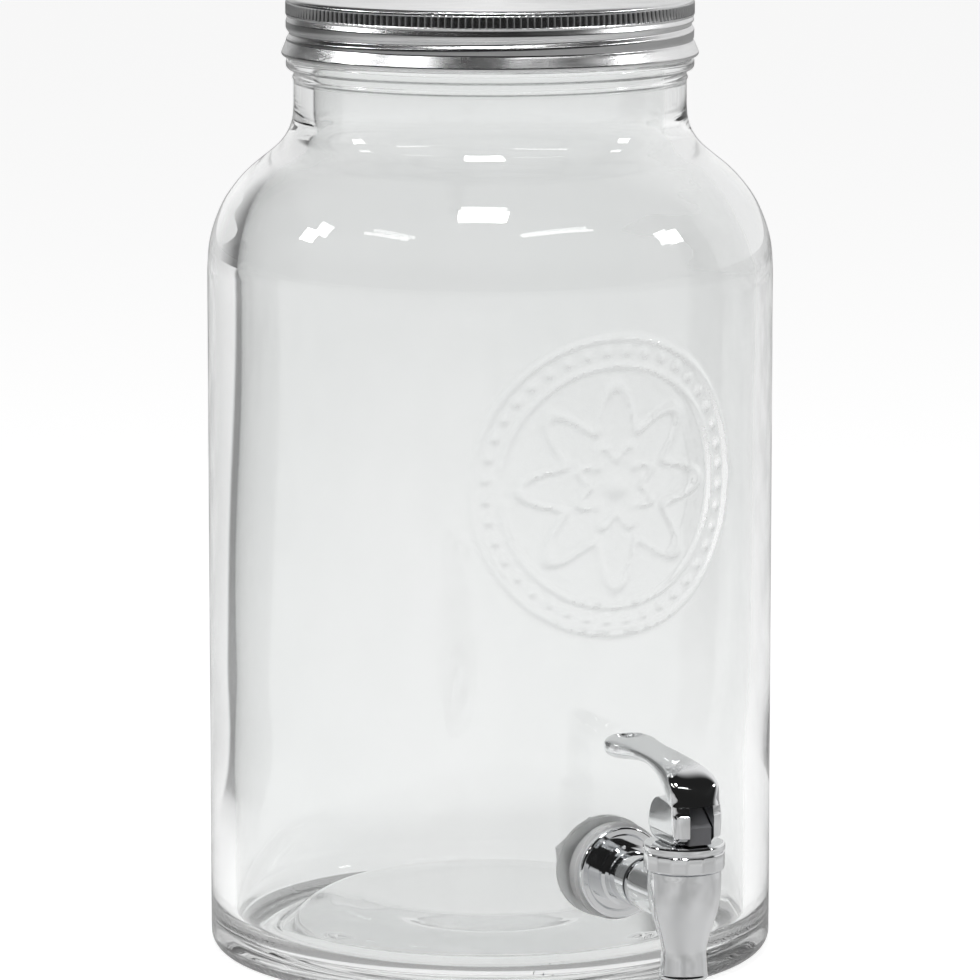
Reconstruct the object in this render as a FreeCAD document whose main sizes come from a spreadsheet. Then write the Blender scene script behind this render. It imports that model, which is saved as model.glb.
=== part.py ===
"""Glass drinks or detergent dispenser jar with a screw lid and a lever tap, in millimetres.

The origin is on the jar's axis at the plane it stands on, +Z is up and the tap faces -Y.
"""
import FreeCAD, Part
import math
import os
import re

import Sketcher

SIZES = {
    # glass jar
    "jar_radius": 78.0,
    "jar_wall": 7.0,
    "heel_radius": 6.0,
    "base_ring_width": 14.0,
    "base_recess_slope": 8.0,
    "base_recess_rise": 4.0,
    "floor_thickness": 9.0,
    "floor_corner": 9.0,
    "shoulder_drop": 73.4,
    "shoulder_radius": 41.0,
    "inner_shoulder_radius": 36.0,
    "neck_radius": 54.0,
    "neck_wall": 4.6,
    "neck_blend": 7.5,
    "inner_neck_blend": 10.0,
    "rim_height": 263.4,
    "rim_round": 1.5,
    "mould_ridge_drop": 20.3,
    "mould_ridge_proud": 0.4,
    "bead_drop": 18.0,
    "bead_height": 3.2,
    "bead_proud": 2.1,
    "bead_round": 1.2,
    # screw thread of the jar and lid
    "thread_pitch": 5.08,
    "thread_depth": 1.2,
    "thread_width": 2.2,
    "thread_crest": 0.9,
    "thread_drop": 11.4,
    "thread_turns": 1.9,
    "thread_root": 0.3,
    # lid and its liner
    "lid_sheet": 0.5,
    "lid_height": 16.4,
    "lid_clearance": 0.4,
    "lid_corner": 1.2,
    "curl_radius": 1.5,
    "lid_thread_depth": 0.9,
    "lid_thread_angle": 290.0,
    "lid_thread_turns": 1.45,
    "lid_groove_depth": 0.4,
    "liner_thickness": 1.5,
    "liner_width": 6.0,
    # tap place and its joint through the glass
    "tap_height": 35.8,
    "spout_standoff": 40.6,
    "tap_hole_radius": 8.4,
    "outer_washer_radius": 13.2,
    "outer_washer_thickness": 2.2,
    "inner_washer_clearance": 0.1,
    "inner_washer_thickness": 2.4,
    "glass_touch": 0.03,
    "nut_radius": 12.4,
    "nut_thickness": 5.0,
    "nut_angle": 7.0,
    "nut_fit": 0.05,
    # shank with the flange
    "shank_radius": 7.6,
    "shank_bore": 4.0,
    "shank_tail": 2.5,
    "flange_radius": 12.4,
    "flange_thickness": 2.6,
    "flange_rim": 1.8,
    "flange_dish": 0.6,
    "boss_radius": 8.45,
    "boss_length": 4.6,
    "boss_chamfer": 0.7,
    "shank_neck_radius": 7.2,
    "spigot_radius": 5.3,
    "spigot_length": 8.0,
    "spigot_fit": 0.05,
    "gasket_thickness": 0.8,
    "gasket_recess": 0.6,
    # tap body
    "outlet_drop": 21.2,
    "body_length": 29.5,
    "body_radius": 9.75,
    "body_taper_level": 22.0,
    "body_taper_radius": 14.6,
    "body_bend_level": 14.4,
    "body_bend_radius": 7.6,
    "waist_level": 7.5,
    "waist_radius": 5.9,
    "waist_curve": 15.0,
    "outlet_radius": 6.4,
    "outlet_lip": 0.8,
    "outlet_bore": 4.4,
    "chamber_radius": 7.0,
    "chamber_floor": 17.0,
    "side_reach": 21.0,
    "collar_radius": 8.6,
    "collar_height": 4.0,
    # bonnet
    "bonnet_radius": 10.8,
    "bonnet_height": 7.2,
    "bonnet_core": 10.2,
    "bonnet_rim_height": 2.0,
    "bonnet_rim_round": 0.5,
    "bonnet_facets": 16.0,
    "bonnet_facet_radius": 10.75,
    "bonnet_facet_gap": 0.3,
    "bonnet_fit": 0.05,
    # seat cup
    "cup_rim": 0.9,
    "cup_skin": 0.9,
    "cup_plug_radius": 6.0,
    "cup_plug_height": 2.5,
    "cup_plug_slope": 2.0,
    "cup_stalk_radius": 4.4,
    "cup_ledge": 10.5,
    "cup_socket_floor": 3.5,
    "cup_socket_fit": 0.05,
    # valve stem and its pin
    "stem_radius": 3.2,
    "stem_foot_radius": 2.0,
    "stem_clearance": 0.08,
    "stem_head_back": 9.2,
    "stem_head_step": 0.2,
    "stem_head_ledge": 3.2,
    "stem_head_top": 5.1,
    "stem_head_gap": 0.6,
    "pin_radius": 1.25,
    "pin_running_fit": 0.06,
    "pin_grip_fit": 0.02,
    "pin_blind_depth": 1.7,
    # lever, measured from the pin's axis; reach runs from the tap towards the jar
    "pin_height": 5.0,
    "cam_offset": 5.8,
    "open_angle": 40.0,
    "foot_height": 10.5,
    "foot_half_width": 6.95,
    "nose_reach": 7.25,
    "nose_top_round": 1.5,
    "nose_round": 4.5,
    "slot_width": 7.0,
    "slot_roof": 6.5,
    "slot_front": 3.8,
    "back_level": 3.5,
    "arm_top": 14.7,
    "arm_start": 0.0,
    "arm_mid_reach": 19.0,
    "arm_mid_top": 16.4,
    "arm_mid_thickness": 3.0,
    "arm_half_width": 5.0,
    "throat_back": -2.6,
    "throat_reach": 8.6,
    "throat_level": 12.2,
    "throat_curve": 14.0,
    "paddle_radius": 7.0,
    "tip_gap": 3.2,
    "tip_top": 17.3,
    "tip_thickness": 4.4,
    "tip_round": 2.6,
    "dimple_radius": 6.0,
    "dimple_depth": 1.2,
}

# places that several pieces share, as expressions of the sizes
WALL_INSIDE = "(jar_radius - jar_wall)"
FLOOR_LEVEL = "(base_recess_rise + floor_thickness)"
SHOULDER_LEVEL = "(rim_height - shoulder_drop)"
MOULD_RIDGE_LEVEL = "(rim_height - mould_ridge_drop)"
BEAD_LEVEL = "(rim_height - bead_drop)"
THREAD_LEVEL = "(rim_height - thread_drop)"
NECK_INSIDE = "(neck_radius - neck_wall)"
LID_INSIDE = "(neck_radius + thread_depth + lid_clearance)"
LID_OUTSIDE = f"({LID_INSIDE} + lid_sheet)"
LID_BASE = "(rim_height + liner_thickness + lid_sheet - lid_height)"
FLANGE_BACK = "(jar_radius + outer_washer_thickness)"
INNER_WASHER_RADIUS = f"(tap_height - {FLOOR_LEVEL} - floor_corner - inner_washer_clearance)"
NUT_FACE = f"({WALL_INSIDE} - inner_washer_thickness)"
NUT_BACK = f"({NUT_FACE} - nut_thickness)"
SPOUT_REACH = "(jar_radius + spout_standoff)"
TUBE_END = f"({SPOUT_REACH} - side_reach)"
OUTLET_LEVEL = "(tap_height - outlet_drop)"
COLLAR_TOP = "(body_length + collar_height)"
BONNET_TOP = "(body_length + bonnet_height)"
PIN_LEVEL = f"({BONNET_TOP} + pin_height)"
TIP_REACH = "(spout_standoff - tip_gap)"
CUP_LEDGE = "(chamber_floor + cup_ledge)"
CUP_SOCKET = "(chamber_floor + cup_socket_floor)"

doc = FreeCAD.newDocument("dispenser_jar")
sheet = doc.addObject("Spreadsheet::Sheet", "sizes")
for row, (size_name, size) in enumerate(SIZES.items(), start=1):
    sheet.set(f"A{row}", size_name)
    sheet.set(f"B{row}", str(size))
    sheet.setAlias(f"B{row}", size_name)
doc.recompute()

sub_parts = []


def bound(expression):
    """The expression with each size's name pointed at its cell in the sheet."""
    def cell(match):
        word = match.group(0)
        return f"sizes.{word}" if word in SIZES else word
    return re.sub(r"[a-z_]+", cell, expression)


def value(expression):
    """The number that an expression of the sizes has now."""
    return float(sheet.evalExpression(bound(expression)))


def bind(thing, **expressions):
    """Tie properties to expressions; two underscores stand for a dot in a property's path."""
    for path, expression in expressions.items():
        thing.setExpression(path.replace("__", "."), bound(expression))


def new_body(label, x="0", y="0", z="0", turn=None):
    """A body with its label, placed at x, y, z and turned about an axis."""
    body = doc.addObject("PartDesign::Body", label)
    body.Label = label
    if turn:
        axis, angle = turn
        body.Placement = FreeCAD.Placement(FreeCAD.Vector(), FreeCAD.Rotation(axis, angle))
    bind(body, Placement__Base__x=x, Placement__Base__y=y, Placement__Base__z=z)
    sub_parts.append(body)
    return body


def lying_body(label):
    """A body on the tap's horizontal axis: its own Z is the distance out from the jar's axis."""
    return new_body(label, z="tap_height", turn=(FreeCAD.Vector(1, 0, 0), 90))


def tap_body_frame(label):
    """A body on the spout's axis: its own Z is the height above the outlet."""
    return new_body(label, y=f"-{SPOUT_REACH}", z=OUTLET_LEVEL)


def new_sketch(body, name, role):
    """An empty sketch on one of the body's own origin planes."""
    sketch = body.newObject("Sketcher::SketchObject", name)
    plane = [item for item in body.Origin.OriginFeatures if item.Role == role][0]
    sketch.AttachmentSupport = [(plane, "")]
    sketch.MapMode = "FlatFace"
    return sketch


def hold_point(sketch, geometry, end, x, y):
    """Hold one end of a line or arc, or a centre, at x, y by constraints tied to the sizes."""
    for kind, axis, expression in (("DistanceX", -2, x), ("DistanceY", -1, y)):
        if expression == "0":
            sketch.addConstraint(Sketcher.Constraint("PointOnObject", geometry, end, axis))
            continue
        here = value(expression)
        index = sketch.addConstraint(Sketcher.Constraint(kind, -1, 1, geometry, end, here))
        sketch.setExpression(f"Constraints[{index}]", bound(expression))


def add_arc(sketch, begin, finish, radius, turn):
    """An arc from begin to finish that turns left or right; returns its index and ends."""
    half = (finish - begin) * 0.5
    rise = math.sqrt(max(radius ** 2 - half.Length ** 2, 0.0))
    side = FreeCAD.Vector(-half.y, half.x, 0).normalize()
    centre = begin + half + side * (rise if turn == "left" else -rise)
    circle = Part.Circle(centre, FreeCAD.Vector(0, 0, 1), radius)
    first = math.atan2(begin.y - centre.y, begin.x - centre.x)
    last = math.atan2(finish.y - centre.y, finish.x - centre.x)
    if turn == "left":
        return sketch.addGeometry(Part.ArcOfCircle(circle, first, last)), 1, 2
    return sketch.addGeometry(Part.ArcOfCircle(circle, last, first)), 2, 1


def add_loop(sketch, *steps):
    """A closed outline. A step is (x, y) for a straight run to that point, or
    (x, y, radius, turn) for an arc to it; the last step leads back to the first point."""
    points = [FreeCAD.Vector(value(step[0]), value(step[1]), 0) for step in steps]
    ends = []
    for index, step in enumerate(steps):
        begin = points[index - 1]
        finish = points[index]
        if len(step) == 2:
            ends.append((sketch.addGeometry(Part.LineSegment(begin, finish)), 1, 2))
        else:
            ends.append(add_arc(sketch, begin, finish, value(step[2]), step[3]))
    for index, step in enumerate(steps):
        geometry, _, end = ends[index]
        follower, start, _ = ends[(index + 1) % len(steps)]
        sketch.addConstraint(Sketcher.Constraint("Coincident", geometry, end, follower, start))
        hold_point(sketch, geometry, end, step[0], step[1])
        if len(step) == 4:
            number = sketch.addConstraint(Sketcher.Constraint("Radius", geometry, value(step[2])))
            sketch.setExpression(f"Constraints[{number}]", bound(step[2]))


def add_circle(sketch, x, y, radius):
    """A circle about x, y."""
    centre = FreeCAD.Vector(value(x), value(y), 0)
    geometry = sketch.addGeometry(Part.Circle(centre, FreeCAD.Vector(0, 0, 1), value(radius)))
    hold_point(sketch, geometry, 3, x, y)
    number = sketch.addConstraint(Sketcher.Constraint("Radius", geometry, value(radius)))
    sketch.setExpression(f"Constraints[{number}]", bound(radius))


def turned(body, name, *steps, kind="PartDesign::Revolution"):
    """Turn an outline of radius and height about the body's Z axis, to add or cut."""
    sketch = new_sketch(body, f"{name}_outline", "XZ_Plane")
    add_loop(sketch, *steps)
    feature = body.newObject(kind, name)
    feature.Profile = sketch
    feature.ReferenceAxis = (sketch, ["V_Axis"])
    feature.Angle = 360
    return feature


def helix(body, name, kind, turns, *steps):
    """Carry an outline along the screw thread's helix about the body's Z axis."""
    sketch = new_sketch(body, f"{name}_outline", "XZ_Plane")
    add_loop(sketch, *steps)
    feature = body.newObject(kind, name)
    feature.Profile = sketch
    feature.ReferenceAxis = (sketch, ["V_Axis"])
    feature.Mode = "pitch-turns-angle"
    bind(feature, Pitch="thread_pitch", Turns=turns)
    return feature


def primitive(body, kind, name, axis=None, angle=0, **expressions):
    """A PartDesign primitive in a body, with its sizes and place tied to expressions."""
    feature = body.newObject(kind, name)
    if axis:
        feature.Placement = FreeCAD.Placement(FreeCAD.Vector(), FreeCAD.Rotation(axis, angle))
    bind(feature, **expressions)
    return feature


def make_glass_jar():
    """The jar: turned walls, shoulder, bead and rim, the thread ridge and the tap's hole."""
    body = new_body("glass_jar")
    outer_reach = "(neck_radius + neck_blend - jar_radius + shoulder_radius)"
    outer_span = "(shoulder_radius + neck_blend)"
    outer_rise = f"sqrt({outer_span}^2 - {outer_reach}^2)"
    outer_share = f"(shoulder_radius / {outer_span})"
    inner_reach = f"({NECK_INSIDE} + inner_neck_blend - {WALL_INSIDE} + inner_shoulder_radius)"
    inner_span = "(inner_shoulder_radius + inner_neck_blend)"
    inner_rise = f"sqrt({inner_span}^2 - {inner_reach}^2)"
    inner_share = f"(inner_shoulder_radius / {inner_span})"
    bead_top = f"{BEAD_LEVEL} + bead_height"
    turned(
        body, "jar_walls",
        ("jar_radius - heel_radius - base_ring_width - base_recess_slope", "base_recess_rise"),
        ("jar_radius - heel_radius - base_ring_width", "0"),
        ("jar_radius - heel_radius", "0"),
        ("jar_radius", "heel_radius", "heel_radius", "left"),
        ("jar_radius", SHOULDER_LEVEL),
        (f"jar_radius - shoulder_radius + {outer_share} * {outer_reach}",
         f"{SHOULDER_LEVEL} + {outer_share} * {outer_rise}", "shoulder_radius", "left"),
        ("neck_radius", f"{SHOULDER_LEVEL} + {outer_rise}", "neck_blend", "right"),
        ("neck_radius", f"{MOULD_RIDGE_LEVEL} - mould_ridge_proud"),
        ("neck_radius + mould_ridge_proud", MOULD_RIDGE_LEVEL),
        ("neck_radius", f"{MOULD_RIDGE_LEVEL} + mould_ridge_proud"),
        ("neck_radius", BEAD_LEVEL),
        ("neck_radius + bead_proud - bead_round", BEAD_LEVEL),
        ("neck_radius + bead_proud", f"{BEAD_LEVEL} + bead_round", "bead_round", "left"),
        ("neck_radius + bead_proud", f"{bead_top} - bead_round"),
        ("neck_radius + bead_proud - bead_round", bead_top, "bead_round", "left"),
        ("neck_radius", bead_top),
        ("neck_radius", "rim_height - rim_round"),
        ("neck_radius - rim_round", "rim_height", "rim_round", "left"),
        (f"{NECK_INSIDE} + rim_round", "rim_height"),
        (NECK_INSIDE, "rim_height - rim_round", "rim_round", "left"),
        (NECK_INSIDE, f"{SHOULDER_LEVEL} + {inner_rise}"),
        (f"{WALL_INSIDE} - inner_shoulder_radius + {inner_share} * {inner_reach}",
         f"{SHOULDER_LEVEL} + {inner_share} * {inner_rise}", "inner_neck_blend", "left"),
        (WALL_INSIDE, SHOULDER_LEVEL, "inner_shoulder_radius", "right"),
        (WALL_INSIDE, f"{FLOOR_LEVEL} + floor_corner"),
        (f"{WALL_INSIDE} - floor_corner", FLOOR_LEVEL, "floor_corner", "right"),
        ("0", FLOOR_LEVEL),
        ("0", "base_recess_rise"),
    )
    helix(
        body, "jar_thread", "PartDesign::AdditiveHelix", "thread_turns",
        ("neck_radius + thread_depth", f"{THREAD_LEVEL} - thread_crest / 2"),
        ("neck_radius + thread_depth", f"{THREAD_LEVEL} + thread_crest / 2"),
        ("neck_radius", f"{THREAD_LEVEL} + thread_width / 2"),
        ("neck_radius - thread_root", f"{THREAD_LEVEL} + thread_width / 2"),
        ("neck_radius - thread_root", f"{THREAD_LEVEL} - thread_width / 2"),
        ("neck_radius", f"{THREAD_LEVEL} - thread_width / 2"),
    )
    hole = new_sketch(body, "tap_hole_outline", "XZ_Plane")
    add_circle(hole, "0", "tap_height", "tap_hole_radius")
    pocket = body.newObject("PartDesign::Pocket", "tap_hole")
    pocket.Profile = hole
    pocket.Reversed = True
    bind(pocket, Length="jar_radius * 2")


def make_lid_shell():
    """The pressed lid: top panel, skirt, rolled lower edge and the rolled-in helical thread."""
    body = new_body("lid_shell", z=LID_BASE, turn=(FreeCAD.Vector(0, 0, 1), 0))
    bind(body, Placement__Rotation__Angle="lid_thread_angle")
    turned(
        body, "lid_sheet_metal",
        (LID_OUTSIDE, "0"),
        (f"{LID_OUTSIDE} + curl_radius", "curl_radius", "curl_radius", "left"),
        (LID_OUTSIDE, "curl_radius * 2", "curl_radius", "left"),
        (LID_OUTSIDE, "lid_height - lid_corner"),
        (f"{LID_OUTSIDE} - lid_corner", "lid_height", "lid_corner", "left"),
        ("0", "lid_height"),
        ("0", "lid_height - lid_sheet"),
        (f"{LID_OUTSIDE} - lid_corner", "lid_height - lid_sheet"),
        (LID_INSIDE, "lid_height - lid_corner", "lid_corner - lid_sheet", "right"),
        (LID_INSIDE, "0"),
    )
    level = f"({THREAD_LEVEL} + thread_pitch * (lid_thread_angle / 360 - 1 / 2) - {LID_BASE})"
    crest = f"{LID_INSIDE} - lid_thread_depth"
    helix(
        body, "lid_thread", "PartDesign::AdditiveHelix", "lid_thread_turns",
        (f"{LID_INSIDE} + thread_root", f"{level} - thread_width / 2"),
        (f"{LID_INSIDE} + thread_root", f"{level} + thread_width / 2"),
        (LID_INSIDE, f"{level} + thread_width / 2"),
        (crest, f"{level} + thread_crest / 2"),
        (crest, f"{level} - thread_crest / 2"),
        (LID_INSIDE, f"{level} - thread_width / 2"),
    )
    helix(
        body, "lid_groove", "PartDesign::SubtractiveHelix", "lid_thread_turns",
        (f"{LID_OUTSIDE} - lid_groove_depth", f"{level} - thread_crest / 2"),
        (f"{LID_OUTSIDE} + thread_root", f"{level} - thread_width / 2"),
        (f"{LID_OUTSIDE} + thread_root", f"{level} + thread_width / 2"),
        (f"{LID_OUTSIDE} - lid_groove_depth", f"{level} + thread_crest / 2"),
    )


def make_lid_liner():
    """The flat sealing ring between the lid's panel and the jar's rim."""
    body = new_body("lid_liner", z="rim_height")
    outside = f"{LID_INSIDE} - lid_corner"
    turned(
        body, "liner_ring",
        (f"{outside} - liner_width", "0"),
        (outside, "0"),
        (outside, "liner_thickness"),
        (f"{outside} - liner_width", "liner_thickness"),
    )


def washer_cylinder(name, radius, start, end):
    """A cylinder on the tap's horizontal axis, between two distances from the jar's axis."""
    cylinder = doc.addObject("Part::Cylinder", name)
    turn = FreeCAD.Rotation(FreeCAD.Vector(1, 0, 0), 90)
    cylinder.Placement = FreeCAD.Placement(FreeCAD.Vector(), turn)
    bind(cylinder, Radius=radius, Height=f"{end} - {start}", Placement__Base__y=f"-{start}",
         Placement__Base__z="tap_height")
    return cylinder


def wall_cylinder(name, radius, half_height):
    """A cylinder on the jar's axis that stands for the wall behind a washer."""
    cylinder = doc.addObject("Part::Cylinder", name)
    bind(cylinder, Radius=radius, Height=f"2 * {half_height}",
         Placement__Base__z=f"tap_height - {half_height}")
    return cylinder


def boolean(kind, name, base, tool):
    """A Part boolean of two objects."""
    result = doc.addObject(kind, name)
    result.Base = base
    result.Tool = tool
    return result


def make_outer_washer():
    """The soft washer outside: flat under the flange, hollowed to the jar's wall behind."""
    disc = washer_cylinder("outer_disc", "outer_washer_radius",
                           "(jar_radius - outer_washer_thickness)", FLANGE_BACK)
    hole = washer_cylinder("outer_disc_hole", "shank_radius + nut_fit", WALL_INSIDE,
                           f"({FLANGE_BACK} + outer_washer_thickness)")
    wall = wall_cylinder("outer_wall", "jar_radius + glass_touch", "(2 * outer_washer_radius)")
    ring = boolean("Part::Cut", "outer_ring", disc, hole)
    washer = boolean("Part::Cut", "outer_washer", ring, wall)
    washer.Label = "outer_washer"
    sub_parts.append(washer)


def make_inner_washer():
    """The soft washer inside: flat towards the nut, rounded to the jar's wall outside."""
    disc = washer_cylinder("inner_disc", INNER_WASHER_RADIUS, NUT_FACE, "jar_radius")
    hole = washer_cylinder("inner_disc_hole", "shank_radius + nut_fit", NUT_BACK,
                           FLANGE_BACK)
    wall = wall_cylinder("inner_wall", f"{WALL_INSIDE} - glass_touch",
                         f"(2 * {INNER_WASHER_RADIUS})")
    ring = boolean("Part::Cut", "inner_ring", disc, hole)
    washer = boolean("Part::Common", "inner_washer", ring, wall)
    washer.Label = "inner_washer"
    sub_parts.append(washer)


def make_lock_nut():
    """The hexagon nut inside the jar that draws the shank tight."""
    body = lying_body("lock_nut")
    primitive(body, "PartDesign::AdditivePrism", "nut_hexagon", FreeCAD.Vector(0, 0, 1), 0,
              Circumradius="nut_radius", Height="nut_thickness", Placement__Base__z=NUT_BACK,
              Placement__Rotation__Angle="nut_angle + 30")
    primitive(body, "PartDesign::SubtractiveCylinder", "nut_bore", Radius="shank_radius + nut_fit",
              Height="nut_thickness", Placement__Base__z=NUT_BACK)


def make_tap_shank():
    """The hollow shank through the glass, with its dished flange, boss and spigot."""
    body = lying_body("tap_shank")
    front = f"({FLANGE_BACK} + flange_thickness)"
    boss_end = f"({front} + boss_length)"
    shoulder = f"({TUBE_END} - gasket_thickness)"
    turned(
        body, "shank_metal",
        ("shank_radius", f"{NUT_BACK} - shank_tail"),
        ("shank_radius", FLANGE_BACK),
        ("flange_radius", FLANGE_BACK),
        ("flange_radius", f"{front} - flange_dish"),
        ("flange_radius - flange_dish", front, "flange_dish", "left"),
        ("flange_radius - flange_rim", front),
        ("flange_radius - flange_rim - flange_dish", f"{front} - flange_dish"),
        ("boss_radius", f"{front} - flange_dish"),
        ("boss_radius", f"{boss_end} - boss_chamfer"),
        ("boss_radius - boss_chamfer", boss_end),
        ("shank_neck_radius", boss_end),
        ("shank_neck_radius", shoulder),
        ("spigot_radius", shoulder),
        ("spigot_radius", f"{shoulder} + spigot_length"),
        ("shank_bore", f"{shoulder} + spigot_length"),
        ("shank_bore", f"{NUT_BACK} - shank_tail"),
    )


def make_neck_gasket():
    """The recessed sealing ring in the seam between the shank and the tap body."""
    body = lying_body("neck_gasket")
    start = f"{TUBE_END} - gasket_thickness"
    turned(
        body, "gasket_ring",
        ("spigot_radius + spigot_fit", start),
        ("shank_neck_radius - gasket_recess", start),
        ("shank_neck_radius - gasket_recess", TUBE_END),
        ("spigot_radius + spigot_fit", TUBE_END),
    )


def make_tap_body():
    """The tap's casting: tapered spout, side tube, valve chamber and outlet bore."""
    body = tap_body_frame("tap_body")
    turned(
        body, "spout_outside",
        ("outlet_radius - outlet_lip", "0"),
        ("outlet_radius", "outlet_lip", "outlet_lip", "left"),
        ("waist_radius", "waist_level"),
        ("body_bend_radius", "body_bend_level", "waist_curve", "right"),
        ("body_radius", "body_taper_level", "body_taper_radius", "left"),
        ("body_radius", "body_length"),
        ("collar_radius", "body_length"),
        ("collar_radius", COLLAR_TOP),
        ("0", COLLAR_TOP),
        ("0", "0"),
    )
    tube = new_sketch(body, "side_tube_outline", "XZ_Plane")
    add_circle(tube, "0", "outlet_drop", "shank_neck_radius")
    pad = body.newObject("PartDesign::Pad", "side_tube")
    pad.Profile = tube
    pad.Reversed = True
    bind(pad, Length="side_reach")
    turned(
        body, "chamber",
        ("outlet_bore", "0"),
        ("outlet_bore", "chamber_floor"),
        ("chamber_radius", "chamber_floor"),
        ("chamber_radius", COLLAR_TOP),
        ("0", COLLAR_TOP),
        ("0", "0"),
        kind="PartDesign::Groove",
    )
    turn = FreeCAD.Vector(1, 0, 0)
    primitive(body, "PartDesign::SubtractiveCylinder", "port", turn, -90, Radius="shank_bore",
              Height="side_reach", Placement__Base__z="outlet_drop")
    socket_depth = "(spigot_length - gasket_thickness + spigot_fit)"
    primitive(body, "PartDesign::SubtractiveCylinder", "spigot_socket", turn, -90,
              Radius="spigot_radius + spigot_fit", Height=socket_depth,
              Placement__Base__y=f"side_reach - {socket_depth}", Placement__Base__z="outlet_drop")


def make_bonnet():
    """The faceted cap nut over the chamber, with a plain rim and the stem's hole."""
    body = tap_body_frame("bonnet")
    rim_foot = f"({BONNET_TOP} - bonnet_rim_height)"
    turned(
        body, "bonnet_outside",
        ("bonnet_core", "body_length"),
        ("bonnet_core", rim_foot),
        ("bonnet_radius", rim_foot),
        ("bonnet_radius", f"{BONNET_TOP} - bonnet_rim_round"),
        ("bonnet_radius - bonnet_rim_round", BONNET_TOP, "bonnet_rim_round", "left"),
        ("0", BONNET_TOP),
        ("0", "body_length"),
    )
    facets = primitive(
        body, "PartDesign::AdditivePrism", "bonnet_facets", Circumradius="bonnet_facet_radius",
        Height="bonnet_height - bonnet_rim_height - 2 * bonnet_facet_gap",
        Placement__Base__z="body_length + bonnet_facet_gap")
    facets.setExpression("Polygon", bound("bonnet_facets"))
    underside = f"({COLLAR_TOP} + cup_rim)"
    turned(
        body, "bonnet_inside",
        ("collar_radius + bonnet_fit", "body_length"),
        ("collar_radius + bonnet_fit", underside),
        ("stem_radius + stem_clearance", underside),
        ("stem_radius + stem_clearance", BONNET_TOP),
        ("0", BONNET_TOP),
        ("0", "body_length"),
        kind="PartDesign::Groove",
    )


def make_seat_cup():
    """The soft bell that seals the chamber above and closes the outlet with its plug."""
    body = tap_body_frame("seat_cup")
    plug_top = "(chamber_floor + cup_plug_height)"
    bell_foot = "(chamber_radius - cup_skin / 2)"
    turned(
        body, "cup_rubber",
        ("cup_plug_radius", "chamber_floor"),
        ("cup_plug_radius", plug_top),
        ("cup_stalk_radius", f"{plug_top} + cup_plug_slope"),
        ("cup_stalk_radius", CUP_LEDGE),
        (bell_foot, COLLAR_TOP),
        ("collar_radius", COLLAR_TOP),
        ("collar_radius", f"{COLLAR_TOP} + cup_rim"),
        (f"{bell_foot} - cup_skin", f"{COLLAR_TOP} + cup_rim"),
        ("cup_stalk_radius - cup_skin", CUP_LEDGE),
        ("stem_foot_radius + cup_socket_fit", CUP_LEDGE),
        ("stem_foot_radius + cup_socket_fit", CUP_SOCKET),
        ("0", CUP_SOCKET),
        ("0", "chamber_floor"),
    )


def make_valve_stem():
    """The stem from the seat cup up into the lever's slot. Its flat-sided head fills the slot's back and
    slopes so that the slot's roof turns clear of it."""
    body = tap_body_frame("valve_stem")
    head_floor = f"({BONNET_TOP} + stem_head_gap)"
    turned(
        body, "stem_rod",
        ("stem_foot_radius", CUP_SOCKET),
        ("stem_foot_radius", CUP_LEDGE),
        ("stem_radius", CUP_LEDGE),
        ("stem_radius", PIN_LEVEL),
        ("0", f"{PIN_LEVEL} + stem_radius", "stem_radius", "left"),
        ("0", CUP_SOCKET),
    )
    side = new_sketch(body, "stem_head_side", "YZ_Plane")
    add_loop(
        side,
        ("-stem_head_back", head_floor),
        ("0", head_floor),
        ("0", f"{PIN_LEVEL} + stem_head_top"),
        ("-stem_head_ledge", f"{PIN_LEVEL} + stem_head_top"),
        ("-stem_head_back", f"{PIN_LEVEL} + stem_head_step"),
    )
    head = body.newObject("PartDesign::Pad", "stem_head")
    head.Profile = side
    head.SideType = "Symmetric"
    bind(head, Length="2 * stem_radius")
    primitive(body, "PartDesign::SubtractiveCylinder", "stem_pin_hole", FreeCAD.Vector(0, 1, 0), 90,
              Radius="pin_radius + pin_running_fit", Height="4 * stem_radius",
              Placement__Base__x="-2 * stem_radius", Placement__Base__z=PIN_LEVEL)


def make_pivot_pin():
    """The pin that joins the lever to the stem, blind in one cheek and flush in the other."""
    pin = doc.addObject("Part::Cylinder", "pivot_pin")
    pin.Label = "pivot_pin"
    turn = FreeCAD.Rotation(FreeCAD.Vector(0, 1, 0), 90)
    pin.Placement = FreeCAD.Placement(FreeCAD.Vector(), turn)
    bind(pin, Radius="pin_radius", Height="2 * foot_half_width - pin_blind_depth",
         Placement__Base__x="pin_blind_depth - foot_half_width", Placement__Base__y=f"-{SPOUT_REACH}",
         Placement__Base__z=f"{OUTLET_LEVEL} + {PIN_LEVEL}")
    sub_parts.append(pin)


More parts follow.
